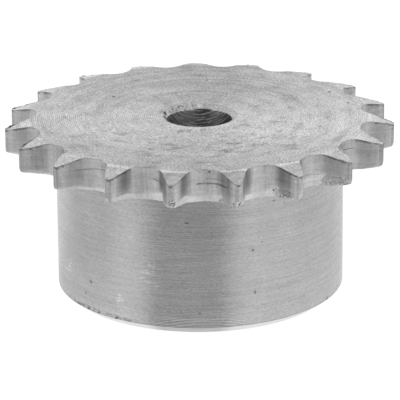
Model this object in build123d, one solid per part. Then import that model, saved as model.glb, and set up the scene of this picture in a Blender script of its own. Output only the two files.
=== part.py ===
from build123d import *
import os
from math import pi, sin

# Roller chain sprocket with a hub on one side, turned and toothed from a single bar of steel.
# It stands on the end of its hub with the toothed plate on top. The origin is on the axis of the
# bore, at the middle of the hub's end face, with +Z up the axis and a tooth gap facing -Y.

# Chain that the teeth carry: 3/8 inch pitch, with rollers of 1/4 inch.
TOOTH_COUNT = 19
CHAIN_PITCH = 9.525
ROLLER_DIAMETER = 6.35
# Where the tooth gap lies between the tightest form that the chain standard allows, 0, and the widest, 1.
GAP_FORM = 0.7

# Turned body.
TIP_DIAMETER = 61.0
PLATE_THICKNESS = 5.2
HUB_DIAMETER = 45.2
OVERALL_LENGTH = 28.2
HUB_CORNER_RADIUS = 0.8
HUB_CHAMFER_WIDTH = 1.7
HUB_CHAMFER_HEIGHT = 1.3

# Bevels that thin the teeth towards their tips, so that the chain finds its way onto them.
UPPER_BEVEL_DIAMETER = 53.6
UPPER_BEVEL_DROP = 1.0
LOWER_BEVEL_DIAMETER = 52.4
LOWER_BEVEL_RISE = 0.6

# Pilot bore.
BORE_DIAMETER = 10.2
BORE_CHAMFER = 0.6

# Break at the lower mouth of each roller seat, where the tooth cutter runs out.
SEAT_BREAK_HEIGHT = 1.2
SEAT_BREAK_DEPTH = 0.3

# How far the cutting shapes reach past the surfaces that they cut.
OVERCUT = 1.0

PLATE_BOTTOM = OVERALL_LENGTH - PLATE_THICKNESS
TIP_RADIUS = TIP_DIAMETER / 2
PITCH_RADIUS = CHAIN_PITCH / sin(pi / TOOTH_COUNT) / 2
ROOT_RADIUS = PITCH_RADIUS - ROLLER_DIAMETER / 2


def between(tightest, widest):
    """A dimension of the tooth gap, from its values at the two limits of the chain standard."""
    return tightest + (widest - tightest) * GAP_FORM


SEAT_RADIUS = between(0.505 * ROLLER_DIAMETER, 0.505 * ROLLER_DIAMETER + 0.069 * ROLLER_DIAMETER ** (1 / 3))
SEAT_ANGLE = between(140 - 90 / TOOTH_COUNT, 120 - 90 / TOOTH_COUNT)
FLANK_RADIUS = between(
    0.12 * ROLLER_DIAMETER * (TOOTH_COUNT + 2),
    0.008 * ROLLER_DIAMETER * (TOOTH_COUNT**2 + 180),
)
SEAT_CENTRE_RADIUS = ROOT_RADIUS + SEAT_RADIUS


def turned_blank():
    """The body as it leaves the lathe: hub, bevelled plate and chamfered bore."""
    bore_radius = BORE_DIAMETER / 2
    hub_radius = HUB_DIAMETER / 2
    section = Polyline(
        (bore_radius + BORE_CHAMFER, 0),
        (hub_radius - HUB_CHAMFER_WIDTH, 0),
        (hub_radius, HUB_CHAMFER_HEIGHT),
        (hub_radius, PLATE_BOTTOM),
        (LOWER_BEVEL_DIAMETER / 2, PLATE_BOTTOM),
        (TIP_RADIUS, PLATE_BOTTOM + LOWER_BEVEL_RISE),
        (TIP_RADIUS, OVERALL_LENGTH - UPPER_BEVEL_DROP),
        (UPPER_BEVEL_DIAMETER / 2, OVERALL_LENGTH),
        (bore_radius + BORE_CHAMFER, OVERALL_LENGTH),
        (bore_radius, OVERALL_LENGTH - BORE_CHAMFER),
        (bore_radius, BORE_CHAMFER),
        close=True,
    )
    face = make_face(section)
    inner_corner = face.vertices().sort_by_distance((hub_radius, PLATE_BOTTOM))[0]
    face = fillet(inner_corner, HUB_CORNER_RADIUS)
    return revolve(Plane.XZ * face, Axis.Z)


def gap_outline():
    """One tooth gap seen along the axis, opening towards +Y: the roller seat between two convex flanks."""
    flank_reach = 1.3 * (TIP_RADIUS - ROOT_RADIUS)
    flank_angle = 180 / pi * flank_reach / FLANK_RADIUS
    seat = CenterArc((0, SEAT_CENTRE_RADIUS), SEAT_RADIUS, 270 - SEAT_ANGLE / 2, SEAT_ANGLE)
    right_flank = JernArc(seat @ 1, seat % 1, FLANK_RADIUS, -flank_angle)
    left_flank = mirror(right_flank, about=Plane.YZ)
    mouth = Line(right_flank @ 1, left_flank @ 1)
    return make_face([seat, right_flank, mouth, left_flank])


def gap_cutter():
    """What one pass of the tooth cutter takes out of the blank, with the break at the seat's lower mouth."""
    through = extrude(gap_outline(), PLATE_THICKNESS + 2 * OVERCUT)
    spread = SEAT_BREAK_DEPTH / SEAT_BREAK_HEIGHT
    seat_break = Cone(
        SEAT_RADIUS + SEAT_BREAK_DEPTH + OVERCUT * spread,
        SEAT_RADIUS,
        SEAT_BREAK_HEIGHT + OVERCUT,
        align=(Align.CENTER, Align.CENTER, Align.MIN),
    )
    return Pos(0, 0, PLATE_BOTTOM - OVERCUT) * (through + Pos(0, SEAT_CENTRE_RADIUS, 0) * seat_break)


def sprocket():
    """The whole wheel, with its gaps cut one after another from the one that faces -Y."""
    cutter = Rot(0, 0, 180) * gap_cutter()
    gaps = [Rot(0, 0, 360 / TOOTH_COUNT * step) * cutter for step in range(TOOTH_COUNT)]
    return turned_blank() - gaps


os.makedirs("parts", exist_ok=True)
export_step(sprocket(), "parts/sprocket.step")
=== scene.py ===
from math import acos, atan2, cos, hypot, pi, radians, sin

import bpy
from bpy.props import FloatProperty, FloatVectorProperty, IntProperty, PointerProperty
from bpy.types import Operator, Panel, PropertyGroup
from mathutils import Matrix, Vector


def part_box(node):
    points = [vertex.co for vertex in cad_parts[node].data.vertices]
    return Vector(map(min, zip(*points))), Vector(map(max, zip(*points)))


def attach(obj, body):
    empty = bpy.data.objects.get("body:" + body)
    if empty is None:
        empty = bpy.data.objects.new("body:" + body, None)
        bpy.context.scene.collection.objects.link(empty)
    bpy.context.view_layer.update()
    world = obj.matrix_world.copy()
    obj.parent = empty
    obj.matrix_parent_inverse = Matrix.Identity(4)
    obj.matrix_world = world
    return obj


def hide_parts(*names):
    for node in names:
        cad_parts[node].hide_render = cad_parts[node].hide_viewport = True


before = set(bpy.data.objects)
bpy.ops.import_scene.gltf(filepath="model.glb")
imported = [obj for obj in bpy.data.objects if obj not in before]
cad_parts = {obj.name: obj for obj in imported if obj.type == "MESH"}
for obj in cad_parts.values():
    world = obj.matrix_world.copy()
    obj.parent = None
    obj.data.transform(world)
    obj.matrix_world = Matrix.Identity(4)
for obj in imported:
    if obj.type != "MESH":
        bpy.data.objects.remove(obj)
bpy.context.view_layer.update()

bl_info = {
    "name": "Chain sprocket",
    "version": (1, 0, 0),
    "blender": (4, 5, 0),
    "location": "3D View > Sidebar > Sprocket",
    "description": "Builds a roller chain sprocket in turned and hobbed steel, and a studio for it",
    "category": "Object",
}

MM = 0.001
CAD_NODE = "sprocket"
LOW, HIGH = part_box(CAD_NODE)


# Node trees


def sums(operation):
    """The two methods of an operator, for the value before it and for the value after it."""

    def value_first(self, other):
        return self.tree.math(operation, self, other)

    def value_last(self, other):
        return self.tree.math(operation, other, self)

    return value_first, value_last


class Value:
    """A socket of a node tree, so that sums on it can be written as sums."""

    __add__, __radd__ = sums("ADD")
    __sub__, __rsub__ = sums("SUBTRACT")
    __mul__, __rmul__ = sums("MULTIPLY")
    __truediv__, __rtruediv__ = sums("DIVIDE")
    __pow__, __rpow__ = sums("POWER")
    # A comparison gives 1 where it holds, and 0 elsewhere.
    __gt__, __lt__ = sums("GREATER_THAN")

    def __init__(self, tree, socket):
        self.tree = tree
        self.socket = socket

    def __neg__(self):
        return self.tree.math("MULTIPLY", self, -1)

    def __abs__(self):
        return self.tree.math("ABSOLUTE", self)

    def ramp(self, start, end, low=0, high=1, smooth=False):
        """Carried from the range start to end over to low to high, and held at its ends."""
        shape = "SMOOTHSTEP" if smooth else "LINEAR"
        ends = {"Value": self, "From Min": start, "From Max": end, "To Min": low, "To Max": high}
        return self.tree.add("ShaderNodeMapRange", ends, interpolation_type=shape)

    def fade(self, start, end):
        """1 up to the start of a range, and from there down to 0 at its end."""
        return self.ramp(start, end, 1, 0)

    def other(self, name):
        """Another output of the same node."""
        return Value(self.tree, find_socket(self.socket.node.outputs, name))


def work(operation):
    """A function that works an operation on one value."""
    return lambda value: value.tree.math(operation, value)


sine, cosine, root = work("SINE"), work("COSINE"), work("SQRT")
rounded, floor = work("ROUND"), work("FLOOR")


def length(vector):
    return vector.tree.vector("LENGTH", vector, output="Value")


def most(greatest, *others):
    """The greatest of several values."""
    for other in others:
        greatest = greatest.tree.math("MAXIMUM", greatest, other)
    return greatest


def least(first, second):
    return first.tree.math("MINIMUM", first, second)


def find_socket(sockets, key):
    """The socket at a place in the list, or the first one in use that has a name."""
    if isinstance(key, int):
        return sockets[key]
    return next(socket for socket in sockets if socket.enabled and socket.name == key)


class Tree:
    """A node tree in the making. Nodes come from add, and other methods are words for common ones."""

    def __init__(self, tree):
        self.tree = tree

    def add(self, kind, inputs=None, output=None, **settings):
        """A new node, as the value of its first output in use or of a named one.

        Its settings come first, because they tell which of its sockets are in use."""
        node = self.tree.nodes.new(kind)
        for name, setting in settings.items():
            setattr(node, name, setting)
        for key, value in (inputs or {}).items():
            self.feed(find_socket(node.inputs, key), value)
        if output is None:
            used = [socket for socket in node.outputs if socket.enabled]
            return Value(self, used[0]) if used else node
        return Value(self, find_socket(node.outputs, output))

    def feed(self, socket, value):
        if isinstance(value, Value):
            self.tree.links.new(value.socket, socket)
        else:
            socket.default_value = value

    def math(self, operation, *terms):
        return self.add("ShaderNodeMath", dict(enumerate(terms)), operation=operation)

    def vector(self, operation, *terms, output=None):
        return self.add("ShaderNodeVectorMath", dict(enumerate(terms)), output, operation=operation)

    def combine(self, x=0, y=0, z=0):
        return self.add("ShaderNodeCombineXYZ", {"X": x, "Y": y, "Z": z})

    def separate(self, vector):
        first = self.add("ShaderNodeSeparateXYZ", {"Vector": vector})
        return first, first.other("Y"), first.other("Z")

    def scale(self, vector, factor):
        return self.add("ShaderNodeVectorMath", {0: vector, "Scale": factor}, operation="SCALE")

    def mix(self, start, end, share):
        """A point on the way from one vector to another."""
        return self.add("ShaderNodeMix", {"Factor": share, "A": start, "B": end}, data_type="VECTOR")


def emptied_tree(owner):
    """The node tree of a material or a world, with nothing in it yet."""
    owner.use_nodes = True
    owner.node_tree.nodes.clear()
    return Tree(owner.node_tree)


def new_object(name, data):
    """A new object in the scene, with a mesh or a camera."""
    item = bpy.data.objects.new(name, data)
    bpy.context.scene.collection.objects.link(item)
    return item


# Kinds of numbers that a user can change.
LENGTH = {"min": 0, "unit": "LENGTH", "subtype": "DISTANCE", "precision": 5}
ANGLE = {"unit": "ROTATION", "subtype": "ANGLE"}
SHARE = {"min": 0, "max": 1, "subtype": "FACTOR"}
STRENGTH = {"min": 0, "max": 3, "subtype": "FACTOR"}


def measure(name, description, default, kind=LENGTH):
    """A number that a user can change."""
    return FloatProperty(name=name, description=description, default=default, **kind)


# The wheel


class WheelSizes(PropertyGroup):
    """Sizes of the sprocket."""

    tooth_count: IntProperty(name="Teeth", description="Number of teeth", default=19, min=9)
    chain_pitch: measure("Chain pitch", "From one roller of the chain to the next", 9.525 * MM)
    roller_diameter: measure("Roller", "Diameter of the chain's rollers", 6.35 * MM)
    gap_form: measure("Gap form", "From the tightest standard form of a gap to the widest", 0.7, SHARE)
    tip_diameter: measure("Tip circle", "Diameter over the tooth tips", 61 * MM)
    plate_thickness: measure("Plate", "Thickness of the toothed plate", 5.2 * MM)
    hub_diameter: measure("Hub", "Diameter of the hub", 45.2 * MM)
    overall_length: measure("Length", "Length over plate and hub", HIGH.z - LOW.z)
    corner_radius: measure("Inner corner", "Radius between hub and plate", 0.8 * MM)
    hub_chamfer_width: measure("Hub chamfer width", "Chamfer at the hub's end, across", 1.7 * MM)
    hub_chamfer_height: measure("Hub chamfer height", "Chamfer at the hub's end, along", 1.3 * MM)
    bore_diameter: measure("Bore", "Diameter of the pilot bore", 10.2 * MM)
    bore_chamfer: measure("Bore chamfer", "Chamfer at both mouths of the bore", 0.6 * MM)
    upper_bevel_diameter: measure("Upper bevel", "Circle where the upper bevel starts", 53.6 * MM)
    upper_bevel_drop: measure("Upper bevel drop", "How far it falls by the tips", 1 * MM)
    lower_bevel_diameter: measure("Lower bevel", "Circle where the lower bevel starts", 52.4 * MM)
    lower_bevel_rise: measure("Lower bevel rise", "How far it rises by the tips", 0.6 * MM)
    seat_edge: measure("Seat edge", "Round at the upper edge of a roller seat", 0.2 * MM)
    burr: measure("Burr", "Highest burr on the upper edges of the flanks", 0.2 * MM)
    break_least: measure("Least seat break", "Least height of a seat's lower break", 0.35 * MM)
    break_swing: measure("Seat break swing", "How much higher it is at its highest", 1.35 * MM)
    break_turn: measure("Seat break turn", "Where round the wheel it is highest", radians(30), ANGLE)
    break_slope: measure("Seat break slope", "How far in it leans for its height", 0.26, {"min": 0})


def tooth_form(sizes):
    """The circles that make one tooth gap, by the chain standard's formulas."""
    teeth, roller, form = sizes.tooth_count, sizes.roller_diameter, sizes.gap_form
    seat_radius = 0.505 * roller + form * 0.069 * (roller / MM) ** (1 / 3) * MM
    seat_half = radians(140 - 20 * form - 90 / teeth) / 2
    tight_flank, wide_flank = 0.12 * roller * (teeth + 2), 0.008 * roller * (teeth**2 + 180)
    flank_radius = tight_flank + (wide_flank - tight_flank) * form
    root_radius = (sizes.chain_pitch / sin(pi / teeth) - roller) / 2
    seat_reach = root_radius + seat_radius
    spread = seat_radius + flank_radius
    flank_x, flank_y = spread * sin(seat_half), seat_reach - spread * cos(seat_half)
    flank_reach, flank_turn = hypot(flank_x, flank_y), atan2(flank_x, flank_y)
    tip = sizes.tip_diameter / 2
    opening = acos((tip**2 + flank_reach**2 - flank_radius**2) / (2 * tip * flank_reach))
    seat_end = atan2(seat_radius * sin(seat_half), seat_reach - seat_radius * cos(seat_half))
    return {
        "Root radius": root_radius,
        "Seat radius": seat_radius,
        "Seat reach": seat_reach,
        "Seat end": seat_end,
        "Flank radius": flank_radius,
        "Flank reach": flank_reach,
        "Flank turn": flank_turn,
        "Flank end": flank_turn - opening,
    }


# The sizes that only tell the form of a tooth gap.
GAP_SIZES = ("chain_pitch", "roller_diameter", "gap_form")


def wheel_numbers(sizes):
    """What the wheel's tree is given, by names of inputs: the sizes, and the form of a tooth gap."""
    keys = [key for key in WheelSizes.__annotations__ if key not in GAP_SIZES]
    return {sizes.bl_rna.properties[key].name: getattr(sizes, key) for key in keys} | tooth_form(sizes)


# The inputs that are not lengths.
ANGLES = ("Seat break turn", "Seat end", "Flank turn", "Flank end")
PLAIN_NUMBERS = ("Teeth", "Seat break slope")


def tree_inputs(tree, numbers):
    """An input of the tree for each number, with its unit, as values by their names."""
    group = tree.tree
    for name, number in numbers.items():
        kind = "NodeSocketInt" if isinstance(number, int) else "NodeSocketFloat"
        socket = group.interface.new_socket(name, in_out="INPUT", socket_type=kind)
        if name in ANGLES:
            socket.subtype = "ANGLE"
        elif name not in PLAIN_NUMBERS:
            socket.subtype = "DISTANCE"
    source = group.nodes.new("NodeGroupInput")
    return {socket.name: Value(tree, socket) for socket in source.outputs if socket.name}


# Steps of the mesh along half a pitch: the roller seat, then the flank, then half the tooth's tip.
SEAT_STEPS = 11
FLANK_STEPS = 10
TIP_STEPS = 5
HALF_PITCH_STEPS = SEAT_STEPS + FLANK_STEPS + TIP_STEPS
PITCH_STEPS = 2 * HALF_PITCH_STEPS
# How far a turned corner is rounded, and how far past it the surface is held to its own direction.
TURNED_EDGE = 0.08 * MM
HOLD = 0.1 * MM
# How softly the tip circle, a bevel and a seat break set in.
TIP_BLEND = 0.35 * MM
BEVEL_BLEND = 0.3 * MM
BREAK_BLEND = 0.12 * MM


def column_places(tree, given):
    """For each column of the flat grid, its tooth gap's number, and its angle from the gap's middle.

    Gap 0 is at the front. The third value is the place along the column."""
    across, along, _ = tree.separate(tree.add("GeometryNodeInputPosition"))
    column = rounded((across + 0.5) * given["Teeth"] * PITCH_STEPS)
    gap = floor(column / PITCH_STEPS + 0.0001)
    step = column - gap * PITCH_STEPS - HALF_PITCH_STEPS
    gap -= floor(given["Teeth"] / 2)
    flank_stop = SEAT_STEPS + FLANK_STEPS
    flank_end = given["Flank end"]
    turn = abs(step).ramp(0, SEAT_STEPS, 0, given["Seat end"])
    turn += abs(step).ramp(SEAT_STEPS, flank_stop, 0, flank_end - given["Seat end"])
    turn += abs(step).ramp(flank_stop, HALF_PITCH_STEPS, 0, pi / given["Teeth"] - flank_end)
    return gap, turn * tree.math("SIGN", step), along


def wheel_outline(tree, given, turn):
    """The wheel's outer radius at an angle from the middle of a gap: seat, flank or rounded tip."""
    seat_reach, flank_reach = given["Seat reach"], given["Flank reach"]
    across = seat_reach * sine(turn)
    seat = seat_reach * cosine(turn) - root(given["Seat radius"] ** 2 - across * across)
    side = abs(turn) - given["Flank turn"]
    across = flank_reach * sine(side)
    flank = flank_reach * cosine(side) + root(given["Flank radius"] ** 2 - across * across)
    flank = tree.math("SMOOTH_MIN", flank, given["Tip circle"] / 2, TIP_BLEND)
    return seat + (flank - seat) * (abs(turn) > given["Seat end"])


def seat_break(given, rim, turn, gap_angle):
    """How far up the wall the break at a seat's lower mouth reaches, and how far its slope goes in."""
    seat_end, flank_end = given["Seat end"], given["Flank end"]
    lean_side = most(cosine(gap_angle - given["Seat break turn"]), 0)
    reach = given["Least seat break"] + given["Seat break swing"] * lean_side
    aside = sine(gap_angle)
    # At the front it is lower.
    reach *= abs(aside - 0.12).ramp(0.2, 0.35, 0.73, 1)
    # It is lopsided, most on the other side, where it starts from nothing at one end of the seat.
    lopsided = aside.ramp(-0.64, 0, 0.8, 0.1) + abs(aside - 0.33).ramp(0.05, 0.25, 0.3, 0)
    reach *= 1 + lopsided * turn.ramp(-seat_end, seat_end, -1, 0.5)
    # It ends at one end of the seat, fades along the other flank, and a little goes round the tip.
    rising = turn.ramp(0.93 * seat_end, 1.04 * seat_end, 1, 0.1, smooth=True)
    falling = (-turn).ramp(seat_end, flank_end, 1, 0.3)
    on_tip = abs(turn).ramp(0.92 * flank_end, flank_end, smooth=True)
    share = most(least(rising, falling), on_tip * 0.4)
    seat_rise = least(rim - given["Root radius"], given["Seat radius"] * 0.6)
    # The wall is moved along a radius, so it moves further for the same depth where it leans from it.
    lean = given["Seat reach"] * sine(abs(turn)) / given["Seat radius"]
    lean = least(lean, 0.88) * (1 - on_tip)
    slope = given["Seat break slope"] / root(1 - lean * lean)
    return (reach + 0.33 * seat_rise) * share, slope


class WheelSection:
    """The wheel's section at a column of the grid, in rows of points (radius, 0, height) round it.

    The rows start inside the hub's end, and marks tells at which of them each finish starts."""

    def __init__(self, tree, given):
        self.tree, self.given = tree, given
        self.rows, self.marks = [], {}
        gap, self.turn, self.along = column_places(tree, given)
        gap_angle = gap * (2 * pi / given["Teeth"])
        angle = gap_angle + self.turn - pi / 2
        self.east, self.north = cosine(angle), sine(angle)
        self.rim = wheel_outline(tree, given, self.turn)
        self.off_seat = abs(self.turn) / given["Seat end"]
        self.underside = given["Length"] - given["Plate"]
        self.rim_head = self.upper(self.rim)
        self.rim_top = tree.separate(self.rim_head)[2]
        self.rim_foot = tree.separate(self.lower(self.rim))[2]
        reach, self.break_slope = seat_break(given, self.rim, self.turn, gap_angle)
        self.break_top = self.rim_foot + reach

    def point(self, radius, height):
        return self.tree.combine(x=radius, z=height)

    def past_bevel(self, radius, bevel, change):
        """How far a bevel has changed the height at a radius."""
        start = self.given[bevel] / 2
        past = self.tree.math("SMOOTH_MAX", radius - start, 0, BEVEL_BLEND)
        return past * (self.given[change] / (self.given["Tip circle"] / 2 - start))

    def upper(self, radius):
        """A point of the plate's upper face, with the bevel of the teeth."""
        drop = self.past_bevel(radius, "Upper bevel", "Upper bevel drop")
        return self.point(radius, self.given["Length"] - drop)

    def lower(self, radius):
        """A point of the plate's lower face, with the bevel of the teeth."""
        rise = self.past_bevel(radius, "Lower bevel", "Lower bevel rise")
        return self.point(radius, self.underside + rise)

    def wall(self, share):
        """A point of the gap's wall, at a share of its height down from its top, with the seat break."""
        height = self.rim_top + (self.rim_foot - self.rim_top) * share
        depth = self.tree.math("SMOOTH_MAX", self.break_top - height, 0, BREAK_BLEND) * self.break_slope
        return self.point(self.rim - depth, height)

    def toward(self, start, end, reach):
        """The point at a distance from one point towards another."""
        way = length(self.tree.vector("SUBTRACT", end, start))
        return self.tree.mix(start, end, reach / way)

    def run(self, start, end, shares):
        for share in shares:
            self.rows.append(self.tree.mix(start, end, share))

    def corner(self, before, at, after, soft=TURNED_EDGE, lip=None, into=None):
        """A corner with a small round, and a row on each side that keeps the surface beside it flat.

        With into, a new finish starts at the crown of the round."""
        tree = self.tree
        start, end = self.toward(at, before, soft), self.toward(at, after, soft)
        crown = tree.mix(tree.mix(start, end, 0.5), at, 0.5)
        if lip:
            crown = tree.vector("ADD", crown, lip)
        self.rows += [self.toward(at, before, soft + HOLD), start, crown]
        if into:
            self.marks[into] = len(self.rows)
        self.rows += [end, self.toward(at, after, soft + HOLD)]

    def burr_lip(self):
        """How the hob's burrs lift the upper edge of a flank, in places."""
        tree = self.tree
        place = tree.scale(tree.combine(self.east * self.rim, self.north * self.rim), 1.3 / MM)
        ragged = tree.add("ShaderNodeTexNoise", {"Vector": place, "Scale": 1, "Detail": 2})
        burr = self.given["Burr"] * ragged.ramp(0.46, 0.68) * self.off_seat.ramp(0.95, 1.3)
        burr *= self.east.ramp(-0.85, -0.5, 1, 0.6)
        return tree.combine(x=0.4 * burr, z=burr)

    def beside_bevel(self, face, bevel, outer, places):
        """Rows by a bevel's start, each told from it, that stay a margin inside the outer radius."""
        for past, margin in places:
            radius = self.given[bevel] / 2 + past * MM
            self.rows.append(face(least(radius, outer - margin * MM)))

    def lay_rows(self):
        """All rows, from the hub's end through the bore, over the plate and back down the hub."""
        given, point, rim = self.given, self.point, self.rim
        top, underside, hub = given["Length"], self.underside, given["Hub"] / 2
        inner_corner = given["Inner corner"]
        bore, chamfer = given["Bore"] / 2, given["Bore chamfer"]
        bore_foot, bore_low = point(bore + chamfer, 0), point(bore, chamfer)
        bore_high, bore_head = point(bore, top - chamfer), point(bore + chamfer, top)
        hub_edge = point(hub, given["Hub chamfer height"])
        hub_foot = point(hub - given["Hub chamfer width"], 0)

        self.run(hub_foot, bore_foot, (0.35, 0.7))
        self.corner(hub_foot, bore_foot, bore_low)
        self.corner(bore_foot, bore_low, bore_high, into="bore")
        self.run(bore_low, bore_high, (0.25, 0.5, 0.75))
        self.corner(bore_low, bore_high, bore_head, into="mouth")
        face_edge = point(given["Upper bevel"] / 2 - 2.5 * MM, top)
        self.corner(bore_high, bore_head, face_edge, into="top")
        self.run(bore_head, face_edge, (0.2, 0.45, 0.7, 1))
        places = ((-0.6, 0.8), (-0.3, 0.7), (0, 0.6), (0.3, 0.5))
        self.beside_bevel(self.upper, "Upper bevel", rim, places)

        # The upper edge of a seat is rounded. That of a flank is left as the hob made it.
        edge = self.off_seat.ramp(0.8, 1.15, given["Seat edge"], 0.05 * MM, smooth=True)
        before, lip = self.upper(rim - 0.4 * MM), self.burr_lip()
        self.rows.append(before)
        self.corner(before, self.rim_head, self.wall(0.1), soft=edge, lip=lip, into="wall")
        shares = 0.12, 0.22, 0.33, 0.44, 0.53, 0.6, 0.66, 0.71, 0.76, 0.8, 0.84, 0.88, 0.92, 0.955
        self.rows += [self.wall(share) for share in shares]
        foot_edge = self.wall(1)
        foot = self.tree.separate(foot_edge)[0]
        self.corner(self.wall(0.97), foot_edge, self.lower(foot - 0.5 * MM), into="underside")
        places = ((0.4, 0.3), (0, 0.4), (-0.4, 0.5), (-1, 0.6))
        self.beside_bevel(self.lower, "Lower bevel", foot, places)

        self.run(self.rows[-1], point(hub + inner_corner, underside), (0.7, 1))
        for share in (0.25, 0.5, 0.75):
            out, down = 1 - sin(share * pi / 2), 1 - cos(share * pi / 2)
            self.rows.append(point(hub + inner_corner * out, underside - inner_corner * down))
        self.marks["hub"] = len(self.rows)
        corner_low = point(hub, underside - inner_corner)
        self.run(corner_low, hub_edge, (0, 0.03, 0.25, 0.5, 0.75))
        self.corner(corner_low, hub_edge, hub_foot, into="chamfer")
        self.corner(hub_edge, hub_foot, bore_foot, into="foot")

    def place(self):
        """Where each vertex goes, and its radius and height. The grid's last row lies on its first."""
        tree, row_count = self.tree, len(self.rows)
        row = rounded((self.along + 0.5) * row_count)
        choice = tree.tree.nodes.new("GeometryNodeIndexSwitch")
        choice.data_type = "VECTOR"
        while len(choice.index_switch_items) < row_count:
            choice.index_switch_items.new()
        tree.feed(choice.inputs["Index"], tree.math("MODULO", row, row_count))
        for number, station in enumerate(self.rows):
            tree.feed(choice.inputs[1 + number], station)
        radius, _, height = tree.separate(Value(tree, choice.outputs[0]))
        return tree.combine(radius * self.east, radius * self.north, height), radius, height


def wheel_tree(finishes, numbers):
    """Geometry nodes that lay a grid round the axis, a column for each place on the teeth's outline."""
    group = bpy.data.node_groups.new("Toothed wheel", "GeometryNodeTree")
    tree = Tree(group)
    given = tree_inputs(tree, numbers)
    group.interface.new_socket("Wheel", in_out="OUTPUT", socket_type="NodeSocketGeometry")
    section = WheelSection(tree, given)
    section.lay_rows()
    row_count = len(section.rows)
    counts = {"Vertices X": given["Teeth"] * PITCH_STEPS + 1, "Vertices Y": row_count + 1}
    mesh = tree.add("GeometryNodeMeshGrid", counts, output="Mesh")
    place, radius, height = section.place()
    # What the finishes read: the place along a gap, the depths from rim and top, and the seat break.
    for name, value, domain in (
        ("off_seat", section.turn / given["Seat end"], "POINT"),
        ("inset", (section.rim - radius) / MM, "POINT"),
        ("fall", (section.rim_top - height) / MM, "POINT"),
        ("on_seat_break", (section.break_top - height).ramp(0.02 * MM, 0.3 * MM), "POINT"),
        ("strip", floor((section.along + 0.5) * row_count), "FACE"),
    ):
        stored = {0: mesh, "Name": name, "Value": value}
        mesh = tree.add("GeometryNodeStoreNamedAttribute", stored, data_type="FLOAT", domain=domain)
    for kind, inputs in (
        ("GeometryNodeSetPosition", {"Position": place}),
        ("GeometryNodeMergeByDistance", {"Distance": 0.001 * MM}),
        ("GeometryNodeFlipFaces", {}),
        ("GeometryNodeSetShadeSmooth", {"Shade Smooth": True}),
        ("GeometryNodeRealizeInstances", {}),
        ("GeometryNodeSetMaterial", {"Material": finishes["foot"]}),
    ):
        mesh = tree.add(kind, {0: mesh} | inputs)
    strip = tree.add("GeometryNodeInputNamedAttribute", {"Name": "strip"}, data_type="FLOAT")
    borders = list(section.marks.items()) + [("end", row_count + 1)]
    for (name, start), (_, end) in zip(borders, borders[1:]):
        # The strip before a border's row already has the new finish.
        inside = (strip > start - 1.5) * (strip < end - 1.5)
        chosen = {0: mesh, "Selection": inside, "Material": finishes[name]}
        mesh = tree.add("GeometryNodeSetMaterial", chosen)
    tree.feed(group.nodes.new("NodeGroupOutput").inputs[0], mesh)
    return group


def mesh_from_tree(name, group, numbers):
    """The mesh that a tree makes from the given numbers, on a plain object at the origin."""
    piece = new_object(name, bpy.data.meshes.new(name))
    modifier = piece.modifiers.new(name, "NODES")
    modifier.node_group = group
    for socket in group.interface.items_tree:
        if socket.in_out == "INPUT":
            modifier[socket.identifier] = numbers[socket.name]
    bpy.context.view_layer.update()
    evaluated = piece.evaluated_get(bpy.context.evaluated_depsgraph_get())
    mesh = bpy.data.meshes.new_from_object(evaluated)
    piece.modifiers.clear()
    # The grid came with an empty slot for its material, which no face uses.
    mesh.materials.pop(index=0)
    piece.data = mesh
    mesh.name = name
    return piece


# Finishes. Lengths are in millimetres, and azimuths in degrees from the front, to the right.


class SteelFinish(PropertyGroup):
    """Look of the steel."""

    colour: FloatVectorProperty(
        name="Steel",
        description="Colour of clean steel",
        subtype="COLOR",
        default=(0.5, 0.5, 0.5),
        min=0,
        max=1,
    )
    marks: measure("Tool marks", "Strength of the marks of turning and hobbing", 1, STRENGTH)
    stains: measure("Stains", "Strength of the stains and smears from storage", 1, STRENGTH)
    # This strength also sets the painted shade at burrs and upper edges.
    wear_and_edge_shade: measure("Wear", "Strength of the pits, scuffs and torn places", 1, STRENGTH)


# The length of a round mark is told at this radius, near which most of the surface lies.
MARK_RADIUS = 20
# A quarter turn of the anisotropy spreads a reflection across grooves that run round the axis.
ACROSS_GROOVES = 0.25
# How high the top face lies, and the radius at which its bevel starts.
TOP = 28.2
BEVEL = 26.8
# Where the land of a tooth's tip starts, told as the off_seat attribute is.
LAND = 1.42


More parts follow.
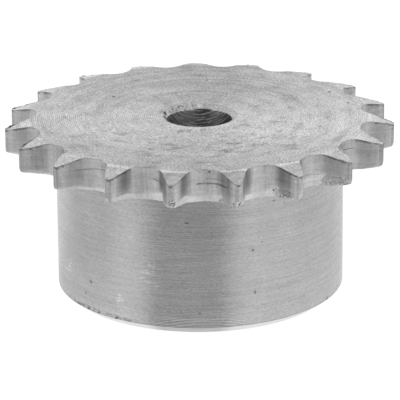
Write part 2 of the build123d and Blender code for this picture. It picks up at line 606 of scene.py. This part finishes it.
class Finish:
    """One finish in the making: where a point lies on the wheel, and words for the marks on it."""

    def __init__(self, name, steel, ragged=0.35):
        """The edges of pits and patches are as ragged as a noise of the given size makes them."""
        self.material = bpy.data.materials.new(name)
        self.steel = steel
        self.tree = tree = emptied_tree(self.material)
        self.place = tree.scale(tree.add("ShaderNodeTexCoord", output="Object"), 1 / MM)
        self.x, self.y, self.height = tree.separate(self.place)
        flat = tree.combine(self.x, self.y)
        self.radius = length(flat)
        self.heading = tree.vector("NORMALIZE", flat)
        self.azimuth = tree.math("ARCTAN2", self.x, -self.y) * (180 / pi)
        self.ragged = self.cloud(ragged, detail=3)

    def kept(self, name):
        """A named attribute of the mesh."""
        return self.tree.add("ShaderNodeAttribute", output="Fac", attribute_name=name)

    def toward_front(self):
        """The off_seat attribute, told so that it grows toward the front on both sides of the wheel."""
        return self.kept("off_seat") * self.x.ramp(-8, 8, -1, 1)

    def noise(self, vector, detail=2):
        """Noise about zero, mostly between -1 and 1, with features about one unit across."""
        inputs = {"Vector": vector, "Scale": 1, "Detail": detail}
        return self.tree.add("ShaderNodeTexNoise", inputs).ramp(0.25, 0.75, -1, 1)

    def units(self, size, seed):
        """The place in units of a size, moved by a seed."""
        return self.tree.vector("ADD", self.tree.scale(self.place, 1 / size), (seed, seed, seed))

    def cloud(self, size, seed=0, detail=2):
        return self.noise(self.units(size, seed), detail)

    def rings(self, across, length, width, seed=0, detail=2):
        """Noise in marks that run round the axis and are stacked along a coordinate across them."""
        x, y, _ = self.tree.separate(self.tree.scale(self.heading, MARK_RADIUS / length))
        return self.noise(self.tree.combine(x, y, across / width + seed), detail)

    def ripple(self, across, period, wobble):
        """The even ridges of a tool's feed."""
        return sine((across / period + wobble) * (2 * pi))

    def specks(self, size, share, seed=0):
        """Small round specks, in a share of the cells of a given size."""
        cell = self.tree.add("ShaderNodeTexVoronoi", {"Vector": self.units(size, seed), "Scale": 1})
        chance = self.tree.separate(cell.other("Color"))[0]
        return cell.fade(0.15, 0.35) * (chance < share)

    def band(self, value, centre, half):
        """A soft band round a value."""
        return abs(value - centre).ramp(half * 0.3, half, 1, 0, smooth=True)

    def pit(self, x, y, z, size, flatness=1):
        """A small dark pit at a place, with a ragged edge."""
        away = self.tree.vector("SUBTRACT", self.place, (x, y, z))
        away = length(self.tree.vector("MULTIPLY", away, (1, flatness, 1)))
        return (away + self.ragged * 0.3 * size).fade(size * 0.5, size)

    def patch(self, azimuth, height, half_turn, half_height, soft=0.4):
        """A place on an upright wall, by its middle and its half sizes in degrees and in height."""
        across, up = (self.azimuth - azimuth) / half_turn, (self.height - height) / half_height
        away = length(self.tree.combine(across, up)) + self.ragged * 0.35
        return away.fade(1 - soft, 1)

    def patches(self, *places, soft=0.4):
        return most(*(self.patch(*place, soft=soft) for place in places))

    def stroke(self, start, end, half_width, depth=1):
        """A straight scratch on an upright wall between two places, each an azimuth and a height."""
        (turn, height), (end_turn, end_height) = start, end
        share = (self.azimuth - turn) * (1 / (end_turn - turn))
        off = abs(self.height - height - share * (end_height - height))
        within = abs(share - 0.5).fade(0.42, 0.5)
        return depth * off.fade(half_width * 0.4, half_width) * within

    def strokes(self, *places):
        return most(*(self.stroke(*place) for place in places))

    def torn_side(self):
        """The side of the bore's mouth where the drill tore the metal."""
        return self.band(self.azimuth, -130, 75)

    def mouth_tear(self):
        """Small torn places on that side, and two deeper ones at its end."""
        tear = 0.6 * self.torn_side() * self.cloud(0.4, seed=5).ramp(0.25, 0.45)
        upper, lower = self.pit(-5.4, 1.7, 28.1, 0.45, 0.6), self.pit(-5.4, 0, 27.9, 0.45, 0.6)
        return most(tear, upper, lower)

    def shade(self, tone, roughness, relief, anisotropy=0, turn=0):
        """Joins the finish up: tone is a share of the steel's colour, and relief is in millimetres."""
        tree = self.tree
        steel = {"Factor": 1, "A": (*self.steel.colour, 1), "B": tone}
        colour = tree.add("ShaderNodeMix", steel, data_type="RGBA", blend_type="MULTIPLY")
        bump = {"Strength": 1, "Distance": MM, "Height": relief}
        sockets = {
            "Base Color": colour,
            "Metallic": 1,
            "Roughness": roughness,
            "Anisotropic": anisotropy,
            "Anisotropic Rotation": turn,
            "Normal": tree.add("ShaderNodeBump", bump),
        }
        surface = tree.add("ShaderNodeBsdfPrincipled", sockets)
        tree.add("ShaderNodeOutputMaterial", {"Surface": surface})
        return self.material


def faced_steel(steel):
    """The plate's faces: rings of the facing tool, smears, stains, pits, and a painted highlight along
    the bevel.
    """
    finish = Finish("faced_steel", steel)
    x, y, radius = finish.x, finish.y, finish.radius
    feed = finish.ripple(radius, 0.31, 0.2 * finish.cloud(4, seed=3))
    grooves = finish.rings(radius, 14, 0.25)
    arcs = finish.rings(radius, 18, 0.8, seed=20)
    rings = finish.rings(radius, 90, 2.4, seed=50)
    grain = finish.cloud(0.3, seed=9)
    dabs = finish.rings(radius, 1, 0.6, seed=13, detail=3)
    clouds = finish.cloud(3.5, seed=7, detail=4)
    # The face is smeared most between the bore and the front teeth, and that part is also painted
    # lighter with painted light.
    worked_and_lit = y.fade(-7, -1) * radius.ramp(17, 22, 1, 0.25)
    smears = finish.rings(radius, 3.5, 1.8, seed=31, detail=5).ramp(0.15, 0.75)
    flecks = finish.rings(radius, 1.6, 0.35, seed=77, detail=3).ramp(0.45, 0.9) * worked_and_lit
    bevel = radius.ramp(BEVEL - 0.1, BEVEL + 0.3)
    marks = 0.07 * grooves + y.ramp(2, 12, 0.06, 0.15) * arcs + 0.05 * rings + 0.5 * grain
    marks += (0.1 + 0.12 * worked_and_lit) * dabs
    marks += feed * radius.ramp(15, 20, 0.12, 0.18) * x.ramp(5, 12, 1, 0.6)
    stained = 0.14 * clouds - (0.15 + 0.25 * worked_and_lit) * smears + 0.16 * worked_and_lit
    # Painted light: the face is a little lighter toward the right.
    tone = 1.1 * x.ramp(0, 22, 1, 1.05) * (1 + 0.3 * flecks)
    tone *= 1 + steel.marks * marks * (1 - 0.4 * bevel) + steel.stains * stained
    # The bevel of the teeth starts in a painted highlight along its crease, strongest at the front, and
    # fainter rings lie inside it.
    crease_highlight = y.ramp(-26.5, -18, 0.45, 0.12) * finish.band(radius, BEVEL, 0.45)
    tone *= 1 + crease_highlight + 0.05 * finish.band(radius, 22.9, 0.25)
    inner_rings = 0.08 * finish.band(radius, 5.7, 2.4) - 0.05 * finish.band(radius, 16.5, 1.4)
    # Painted light: the bevel is lighter, most on the left.
    tone *= 1 + inner_rings + x.ramp(-6, 6, 0.2, 0.07) * bevel
    pits = 0.5 * finish.specks(0.45, 0.07, seed=2)
    for x_place, y_place, size in (
        (-21.1, 0.1, 0.35),
        (-22.1, 5.8, 0.25),
        (-13.4, 10.2, 0.35),
        (21.1, 10.9, 0.4),
        (22.6, 8.2, 0.25),
        (23.7, 5.1, 0.35),
        (1.7, 18.1, 0.25),
    ):
        pits = most(pits, finish.pit(x_place, y_place, TOP, size))
    stain = finish.pit(14.4, 8.2, TOP, 1.7, flatness=0.7)
    stain *= finish.cloud(0.5, seed=23).ramp(-0.6, 0.2, 1, 0.2)
    tone *= (1 - 0.75 * steel.wear_and_edge_shade * pits) * (1 - 0.45 * steel.stains * stain)
    # Where the drill broke in, one side of the bore's mouth is torn, and the other side shows its edge.
    torn = finish.band(radius, 5.9, 0.9) * finish.mouth_tear()
    tone *= (1 - 0.9 * torn) * (1 - 0.08 * finish.band(radius, 6.4, 1.2) * finish.torn_side())
    edge = finish.band(radius, 5.86, 0.2) * finish.band(finish.azimuth, 125, 75)
    tone *= 1 - 0.35 * edge
    # Burrs stand along the edges of the flanks that face the back, and their shaded sides are painted as
    # a dark line of painted shade.
    far_flank = finish.toward_front().fade(-1.1, -0.7)
    burr = (finish.kept("inset") + 0.4 * finish.ragged).fade(0.5, 1.2) * far_flank
    burr *= finish.cloud(1.4, seed=27).ramp(-0.3, 0) * y.fade(14, 18)
    burr *= abs(finish.azimuth).ramp(35, 50)
    tone *= 1 - steel.wear_and_edge_shade * x.ramp(-16, 0, 0.75, 0.45) * burr
    relief = 0.002 * grooves + 0.002 * feed + 0.003 * grain - 0.03 * pits
    return finish.shade(tone, 0.42 + 0.06 * smears, relief, anisotropy=0.85, turn=ACROSS_GROOVES)


def turned_steel(steel):
    """The hub: fine lines of the turning tool, chatter near its end, scuffs and spots of handling."""
    finish = Finish("turned_hub", steel, ragged=0.5)
    height = finish.height
    lines = finish.rings(height, 4.5, 0.1)
    long_lines = finish.rings(height, 30, 0.3, seed=20)
    grain = finish.rings(height, 0.4, 0.15, seed=40)
    fine_grooves = finish.rings(height, 25, 0.06, seed=70)
    # Near its end the tool chattered, in ripples that cross the lines at a slant.
    chattered = height.fade(1.8, 4.5) * finish.band(finish.azimuth, -2, 24)
    wander = 0.35 * finish.rings(height, 5, 3, seed=60)
    chatter = finish.ripple(height + finish.y, 0.45, wander) * chattered
    marks = 0.13 * lines + 0.06 * long_lines + 0.16 * grain + 0.24 * chatter + 0.08 * chattered
    tone = 1.08 * (1 + steel.marks * marks + 0.05 * steel.stains * finish.cloud(4, seed=7))
    scuffs = finish.patches((-21, 9.2, 5, 2.6), (-67, 6.8, 4, 1.6), (-35, 4.9, 2, 1))
    scuffs *= finish.rings(height, 1.2, 0.25, seed=80).ramp(0.1, 0.5)
    scratch = finish.strokes(((-56.4, 18.1), (-29.8, 13.7), 0.14), ((-62, 9), (-38, 5.2), 0.1, 0.6))
    scratch *= finish.cloud(1, seed=11).ramp(-0.4, 0.3)
    spots = finish.patches(
        (28.5, 21, 0.6, 0.2),
        (19.4, 13.5, 0.7, 0.25),
        (23.2, 14.6, 0.4, 0.2),
        (20.3, 6.6, 0.6, 0.4),
        (-1.8, 3.8, 0.5, 0.15),
        (-50.1, 6.1, 0.9, 0.25),
        (-53.5, 3.9, 0.5, 0.2),
        (-6.4, 18.5, 1.2, 0.15),
        (59.5, 1.4, 0.8, 0.5),
    )
    # Burrs of the end's chamfer, in a stretch of its upper edge.
    burrs = height.fade(1.5, 2.1) * finish.band(finish.azimuth, -46, 24)
    burrs = 1.4 * burrs * finish.cloud(0.6, seed=13).ramp(-0.3, 0.2)
    edge = most(burrs, height.ramp(1.4, 1.6, 0.4, 0))
    dark = most(0.55 * spots, 0.35 * finish.specks(0.4, 0.03), 0.55 * edge)
    tone *= (1 - steel.wear_and_edge_shade * dark) * (1 + 0.5 * steel.wear_and_edge_shade * scuffs + 0.22 * scratch)
    relief = 0.007 * fine_grooves + 0.003 * lines + 0.003 * long_lines + 0.006 * chatter
    relief += 0.01 * scuffs - 0.02 * spots
    return finish.shade(tone, 0.18, relief, anisotropy=1, turn=ACROSS_GROOVES)


def hobbed_steel(steel):
    """The teeth's walls: upright streaks, lines that the hob scored, torn places, painted shade at the
    seat ends and a painted highlight on the break.
    """
    finish = Finish("hobbed_steel", steel, ragged=0.45)
    tree, x, height = finish.tree, finish.x, finish.height
    off_seat, fall, on_seat_break = abs(finish.kept("off_seat")), finish.kept("fall"), finish.kept("on_seat_break")
    aside = abs(finish.azimuth)
    upright = tree.vector("MULTIPLY", finish.place, (1, 1, 0.08))
    streaks = finish.noise(tree.scale(upright, 1 / 0.3))
    broad = finish.noise(tree.scale(upright, 1 / 1.2), detail=1)
    feed = finish.rings(height, 2.5, 0.4, seed=20)
    grain = finish.cloud(0.25, seed=9)
    land = off_seat.ramp(LAND - 0.04, LAND + 0.02)
    marks = (0.08 + 0.13 * land) * streaks + (0.05 + 0.05 * land) * broad + 0.1 * feed + 0.1 * grain
    stained = 0.07 * finish.cloud(1.6, seed=5)
    tone = 1.73 * (1 - 0.2 * land) * (1 + steel.marks * marks + steel.stains * stained)
    # The ends of a seat are painted dark with painted shade. The break below is painted bright with a
    # painted highlight, most on the left.
    near_side = finish.toward_front().ramp(-0.5, 0.5)
    far_side = 1 - near_side
    begin = 0.72 - far_side * x.ramp(-8, 8, 0.1, 0.47)
    stop = 1.22 - near_side * x.ramp(-3, 3, 0.1, 0.02)
    seat_end_shade = off_seat.ramp(begin, 1.02 - 0.17 * far_side, smooth=True) * (1 - on_seat_break)
    seat_end_shade *= off_seat.fade(stop, stop + 0.2)
    seat_end_shade *= 1 - x.ramp(-8, 8, 0.7, 0.6) * near_side * aside.ramp(26, 42)
    seat_end_shade *= broad.ramp(-1, 0.6, 0.65, 1) * fall.ramp(2.2, 4.2, 1, 0.4)
    # Painted shade at the ends of a seat, and a painted highlight on the break, most on the left.
    tone *= (1 - 0.58 * seat_end_shade) * (1 + on_seat_break * x.ramp(-8, 16, 0.18, 0.01))
    # At the sides, and most on the right, the walls are painted darker with painted shade, above all at
    # the far end of a seat.
    beside = aside.ramp(28, 55) * aside.fade(110, 150)
    far_end = finish.toward_front().fade(-0.4, 0.5)
    tone *= 1 - beside * (x.ramp(-10, 10, 0.1, 0.19) + 0.2 * far_end)
    scored = finish.strokes(
        ((-3, 25.95), (7.2, 26.1), 0.2),
        ((0.3, 26.75), (6.4, 26.85), 0.14, 0.6),
        ((-17.5, 26.5), (-12.5, 26.2), 0.12, 0.9),
        ((-44.5, 26.3), (-34, 26.8), 0.12, 0.8),
        ((53, 26.9), (62, 26.7), 0.14, 0.9),
        ((35, 25.2), (43, 25), 0.12, 0.5),
    )
    scored *= finish.cloud(0.9, seed=15).ramp(-1.1, 0, 0.4)
    # The corners below the upper bevel of the front teeth are nicked, and so is one seat's edge.
    nicked = [(azimuth, 27, 0.65, 0.22) for azimuth in (-28.4, -9.5, 9.5, 28.4)]
    scored = most(scored, finish.patches(*nicked, (1.8, 27.85, 0.5, 0.2)))
    # At the feet of some teeth the metal is torn into small curls.
    feet = (24.9, 24.1, 2, 1), (5.6, 23.5, 0.6, 0.45), (-9.5, 24.3, 1.5, 0.6), (9.5, 23.9, 1.5, 0.6)
    fainter = 0.6 * finish.patch(44.9, 24, 2.4, 0.9, soft=0.2)
    torn = most(finish.patches(*feet, soft=0.2), fainter)
    crinkle = finish.cloud(0.55, seed=33, detail=1)
    curls = torn * finish.band(crinkle, 0, 0.14)
    # Burrs folded over the upper edge throw a painted shadow, a dark line on the wall below them, and a
    # painted shade lies under every upper edge.
    edge = (fall + 0.2 * finish.ragged).fade(0.15, 0.42) * off_seat.ramp(0.6, 1)
    edge *= near_side * finish.cloud(1.5, seed=19).ramp(-0.35, -0.05)
    edge *= aside.ramp(8, 20, 0.3, 1)
    edge = most(edge, 0.45 * fall.fade(0.1, 0.25))
    dark = most(0.5 * scored, 0.55 * edge, 0.85 * curls, 0.4 * finish.specks(0.45, 0.04))
    tone *= (1 - steel.wear_and_edge_shade * dark) * (1 + 0.35 * torn * crinkle.ramp(-0.1, -0.5))
    relief = 0.003 * streaks + 0.004 * feed + 0.003 * grain - 0.03 * scored + 0.08 * torn * crinkle
    return finish.shade(tone, 0.62, relief, anisotropy=0.2)


def drilled_steel(steel):
    """The bore: bright rings from the drill, a wall that is darker toward its sides, and a darker band
    near its middle that is a painted reflection.
    """
    finish = Finish("drilled_steel", steel)
    x = finish.x
    slanted = finish.height + 1.05 * finish.y
    rings = finish.rings(slanted, 9, 0.4)
    feed = finish.ripple(slanted, 0.5, 0.35 * finish.cloud(2))
    stains = finish.cloud(2.5, seed=7)
    bright = (0.4 * feed + 1.3 * rings).ramp(0.1, 1)
    # The wall is darker toward its sides, and the darker band near its middle is a painted reflection.
    sides = abs(x).ramp(3.4, 5, 1, 0.55)
    tone = 1.05 * (1 + 4.5 * bright + 0.14 * stains) * (1 - 0.5 * finish.band(x, 0.7, 1.6)) * sides
    return finish.shade(tone, 0.35, 0.006 * rings + 0.006 * feed, anisotropy=0.5, turn=ACROSS_GROOVES)


def reamed_steel(steel):
    """The chamfer at the bore's upper mouth, torn on one side."""
    finish = Finish("reamed_steel", steel)
    grain = finish.cloud(0.3, seed=9, detail=3)
    rings = finish.rings(finish.radius, 6, 0.2)
    clouds = finish.cloud(2, seed=4)
    tone = 1.12 * (1 + 0.3 * grain + 0.08 * rings + 0.12 * clouds - 0.04 * finish.torn_side())
    tear = finish.mouth_tear()
    # The torn side ends in a bright nick at the back.
    nick = finish.pit(0.25, 5.4, 27.9, 0.6)
    tone *= (1 - 0.9 * steel.wear_and_edge_shade * tear) * (1 + 0.5 * nick)
    return finish.shade(tone, 0.4, 0.003 * grain - 0.02 * tear)


def chamfered_steel(steel):
    """The chamfer at the hub's end, cut clean and bright."""
    finish = Finish("chamfered_steel", steel)
    rings = finish.rings(finish.radius, 15, 0.12)
    tone = 1.6 * (1 + 0.05 * rings + 0.04 * finish.cloud(2, seed=4))
    return finish.shade(tone, 0.28, 0.001 * rings)


class SPROCKET_OT_wheel(Operator):
    """Build the sprocket: teeth, plate, hub and bore in one mesh"""

    bl_idname = "sprocket.wheel"
    bl_label = "Build the wheel"

    def execute(self, context):
        steel = context.scene.sprocket_steel
        faced = faced_steel(steel)
        finishes = {
            "bore": drilled_steel(steel),
            "mouth": reamed_steel(steel),
            "top": faced,
            "wall": hobbed_steel(steel),
            "underside": faced,
            "hub": turned_steel(steel),
            "chamfer": chamfered_steel(steel),
            "foot": faced,
        }
        numbers = wheel_numbers(context.scene.sprocket_sizes)
        wheel = mesh_from_tree("wheel", wheel_tree(finishes, numbers), numbers)
        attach(wheel, "root")
        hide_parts(CAD_NODE)
        return {"FINISHED"}


# The studio


class StudioSetup(PropertyGroup):
    """Camera, floor and lights."""

    camera_height: measure("Camera height", "How far above the plate it stands", 0.3197, ANGLE)
    camera_turn: measure("Camera turn", "How far it stands round from the front", -0.0238, ANGLE)
    camera_tilt: measure("Camera tilt", "How far below the plate's middle it aims", 0.0251, ANGLE)
    camera_roll: measure("Camera roll", "Lean of the camera", -0.0081, ANGLE)
    camera_distance: measure("Camera distance", "From the middle of the plate", 529.1 * MM)
    lens_pixels: measure("Lens", "Focal length in widths of a pixel", 3372, {"min": 1})
    picture_width: IntProperty(name="Picture", description="Its width in pixels", default=400, min=1)
    tent_back: measure("Back", "Brightness of the tent behind the object", 1, SHARE)
    tent_side: measure("Sides", "Brightness of the tent beside the object", 0.78, SHARE)
    tent_top: measure("Top", "Brightness of the tent overhead", 0.8, SHARE)


def add_camera(setup, target):
    """The camera, aimed a little under the middle of the plate."""
    camera = bpy.data.cameras.new("camera")
    camera.sensor_width = 36
    camera.lens = setup.lens_pixels / setup.picture_width * camera.sensor_width
    camera.clip_start = 0.01
    camera.clip_end = 20
    view = new_object("camera", camera)
    turn = Matrix.Rotation(setup.camera_turn, 4, "Z")
    away = turn @ Vector((0, -cos(setup.camera_height), sin(setup.camera_height)))
    down = Matrix.Rotation(pi / 2 - setup.camera_height - setup.camera_tilt, 4, "X")
    roll = Matrix.Rotation(setup.camera_roll, 4, "Z")
    view.matrix_world = Matrix.Translation(target + away * setup.camera_distance) @ turn @ down @ roll
    bpy.context.scene.camera = view


# The tent's opening and its dim surround, by the azimuths on the hub's wall that reflect them.
OPENING = (-22.3, 9.8)
SURROUND = (-27.3, 16.7)
# How far from the hub the floor is still bright, and the radius of a dimmer ring on it.
POOL_RADIUS = 40 * MM
RING_RADIUS = 42 * MM


def grey(level):
    return level, level, level, 1


def white_floor(setup, foot_radius):
    """A white sheet, seen as white with a trace of the object's shadow.

    The steel sees it brightest near the middle, and darker toward the opening of the tent."""
    material = bpy.data.materials.new("white_floor")
    tree = emptied_tree(material)
    place = tree.add("ShaderNodeTexCoord", output="Object")
    x, y, _ = tree.separate(place)
    distance = length(place)

    def right_of(turn):
        """Whether a place lies right of where the hub's wall reflects the camera, at an azimuth."""
        turn = radians(turn)
        away = 2 * turn - setup.camera_turn
        across = (x - foot_radius * sin(turn)) * cos(away) + (y + foot_radius * cos(turn)) * sin(away)
        return across.ramp(-1 * MM, 1 * MM)

    def between(left, right):
        return right_of(left) * (1 - right_of(right))

    pool = distance.ramp(POOL_RADIUS, 150 * MM, 0.95, 0.6, smooth=True)
    pool *= abs(distance - RING_RADIUS).ramp(8 * MM, 20 * MM, 0.9, 1)
    beside = (abs(x) / distance).ramp(0.82, 0.96) * (y / distance).fade(0.25, 0.55)
    pool *= 1 - beside * x.ramp(-1 * MM, 1 * MM, 0.13, 0.04)
    pool *= (1 - 0.29 * between(*OPENING)) * (1 - 0.05 * between(*SURROUND))
    path = tree.add("ShaderNodeLightPath", output="Is Camera Ray")
    diffuse = tree.add("ShaderNodeBsdfDiffuse", {"Color": grey(0.8)})
    glow = tree.add("ShaderNodeEmission", {"Color": grey(1), "Strength": pool})
    faint = tree.add("ShaderNodeBsdfDiffuse", {"Color": grey(0.15)})
    white = tree.add("ShaderNodeEmission", {"Color": grey(0.95), "Strength": 1})
    seen = tree.add("ShaderNodeAddShader", {0: faint, 1: white})
    lit = tree.add("ShaderNodeMixShader", {0: path.other("Is Glossy Ray"), 1: diffuse, 2: glow})
    both = tree.add("ShaderNodeMixShader", {0: path, 1: lit, 2: seen})
    # From under the floor the object is seen through it.
    under = tree.add("ShaderNodeNewGeometry", output="Backfacing")
    clear = tree.add("ShaderNodeBsdfTransparent")
    sheet = tree.add("ShaderNodeMixShader", {0: under, 1: both, 2: clear})
    tree.add("ShaderNodeOutputMaterial", {"Surface": sheet})
    return material


def studio_world(setup):
    """A light tent, dimmer overhead, with a dark opening for the camera between two brighter panels.

    The camera sees it white."""
    world = bpy.data.worlds.new("studio")
    tree = emptied_tree(world)
    x, y, z = tree.separate(tree.add("ShaderNodeTexCoord", output="Generated"))

    def right_of(turn, soft):
        """Whether a direction lies to the right of those that a turned wall reflects, at an azimuth.

        Grooves round the wall spread its reflection over a cone, so the border is a cone too."""
        turn = radians(turn)
        across = x * cos(turn) + y * sin(turn)
        border = cos(setup.camera_height) * sin(turn - setup.camera_turn)
        return across.ramp(border - soft, border + soft)

    def between(left, right, left_soft=0.01, right_soft=0.01):
        return right_of(left, left_soft) * (1 - right_of(right, right_soft))

    tent = abs(y - 0.05).ramp(0, 0.9, setup.tent_side, setup.tent_back) + 0.07 * x
    tent += (setup.tent_top - tent) * z.ramp(0.3, 0.9, smooth=True)
    in_front = y.fade(-0.15, 0) * z.fade(0.85, 0.95)
    opening = between(*OPENING) * z.ramp(0.2, 0.45, 0.97, 0.65)
    tent *= (1 - opening * in_front) * (1 - 0.1 * between(*SURROUND) * in_front)
    left_panel = between(-37, -29, left_soft=0.14)
    right_panel = between(SURROUND[1], 22, right_soft=0.06)
    tent += (0.35 * left_panel + 0.2 * right_panel) * in_front
    path = tree.add("ShaderNodeLightPath", output="Is Camera Ray")
    around = tree.add("ShaderNodeBackground", {"Color": grey(1), "Strength": tent})
    white = tree.add("ShaderNodeBackground", {"Color": grey(1), "Strength": 1})
    both = tree.add("ShaderNodeMixShader", {0: path, 1: around, 2: white})
    tree.add("ShaderNodeOutputWorld", {"Surface": both})
    bpy.context.scene.world = world


def add_floor(material):
    """The floor, a hair under the object's foot."""
    reach, level = 3, -0.01 * MM
    sides = (-1, -1), (1, -1), (1, 1), (-1, 1)
    corners = [(x * reach, y * reach, level) for x, y in sides]
    mesh = bpy.data.meshes.new("floor")
    mesh.from_pydata(corners, [], [(0, 1, 2, 3)])
    mesh.materials.append(material)
    sheet = new_object("floor", mesh)


class SPROCKET_OT_studio(Operator):
    """Set up the floor, the soft light and the camera"""

    bl_idname = "sprocket.studio"
    bl_label = "Set up the studio"

    def execute(self, context):
        setup, sizes = context.scene.sprocket_studio, context.scene.sprocket_sizes
        add_floor(white_floor(setup, sizes.hub_diameter / 2))
        studio_world(setup)
        add_camera(setup, Vector((0, 0, sizes.overall_length)))
        context.scene.view_settings.view_transform = "Standard"
        return {"FINISHED"}


class SPROCKET_PT_panel(Panel):
    """Lists the sprocket's sizes, finish and studio"""

    bl_idname = "SPROCKET_PT_panel"
    bl_label = "Chain sprocket"
    bl_space_type = "VIEW_3D"
    bl_region_type = "UI"
    bl_category = "Sprocket"

    def draw(self, context):
        for group, operator in (
            (context.scene.sprocket_sizes, "sprocket.wheel"),
            (context.scene.sprocket_steel, None),
            (context.scene.sprocket_studio, "sprocket.studio"),
        ):
            box = self.layout.box()
            for name in group.__annotations__:
                box.prop(group, name)
            if operator:
                box.operator(operator)


CLASSES = (
    WheelSizes,
    SteelFinish,
    StudioSetup,
    SPROCKET_OT_wheel,
    SPROCKET_OT_studio,
    SPROCKET_PT_panel,
)


def register():
    for item in CLASSES:
        bpy.utils.register_class(item)
    bpy.types.Scene.sprocket_sizes = PointerProperty(type=WheelSizes)
    bpy.types.Scene.sprocket_steel = PointerProperty(type=SteelFinish)
    bpy.types.Scene.sprocket_studio = PointerProperty(type=StudioSetup)


def unregister():
    del bpy.types.Scene.sprocket_studio
    del bpy.types.Scene.sprocket_steel
    del bpy.types.Scene.sprocket_sizes
    for item in reversed(CLASSES):
        bpy.utils.unregister_class(item)


def main():
    register()
    bpy.ops.sprocket.studio()
    bpy.ops.sprocket.wheel()


if __name__ == "__main__":
    main()
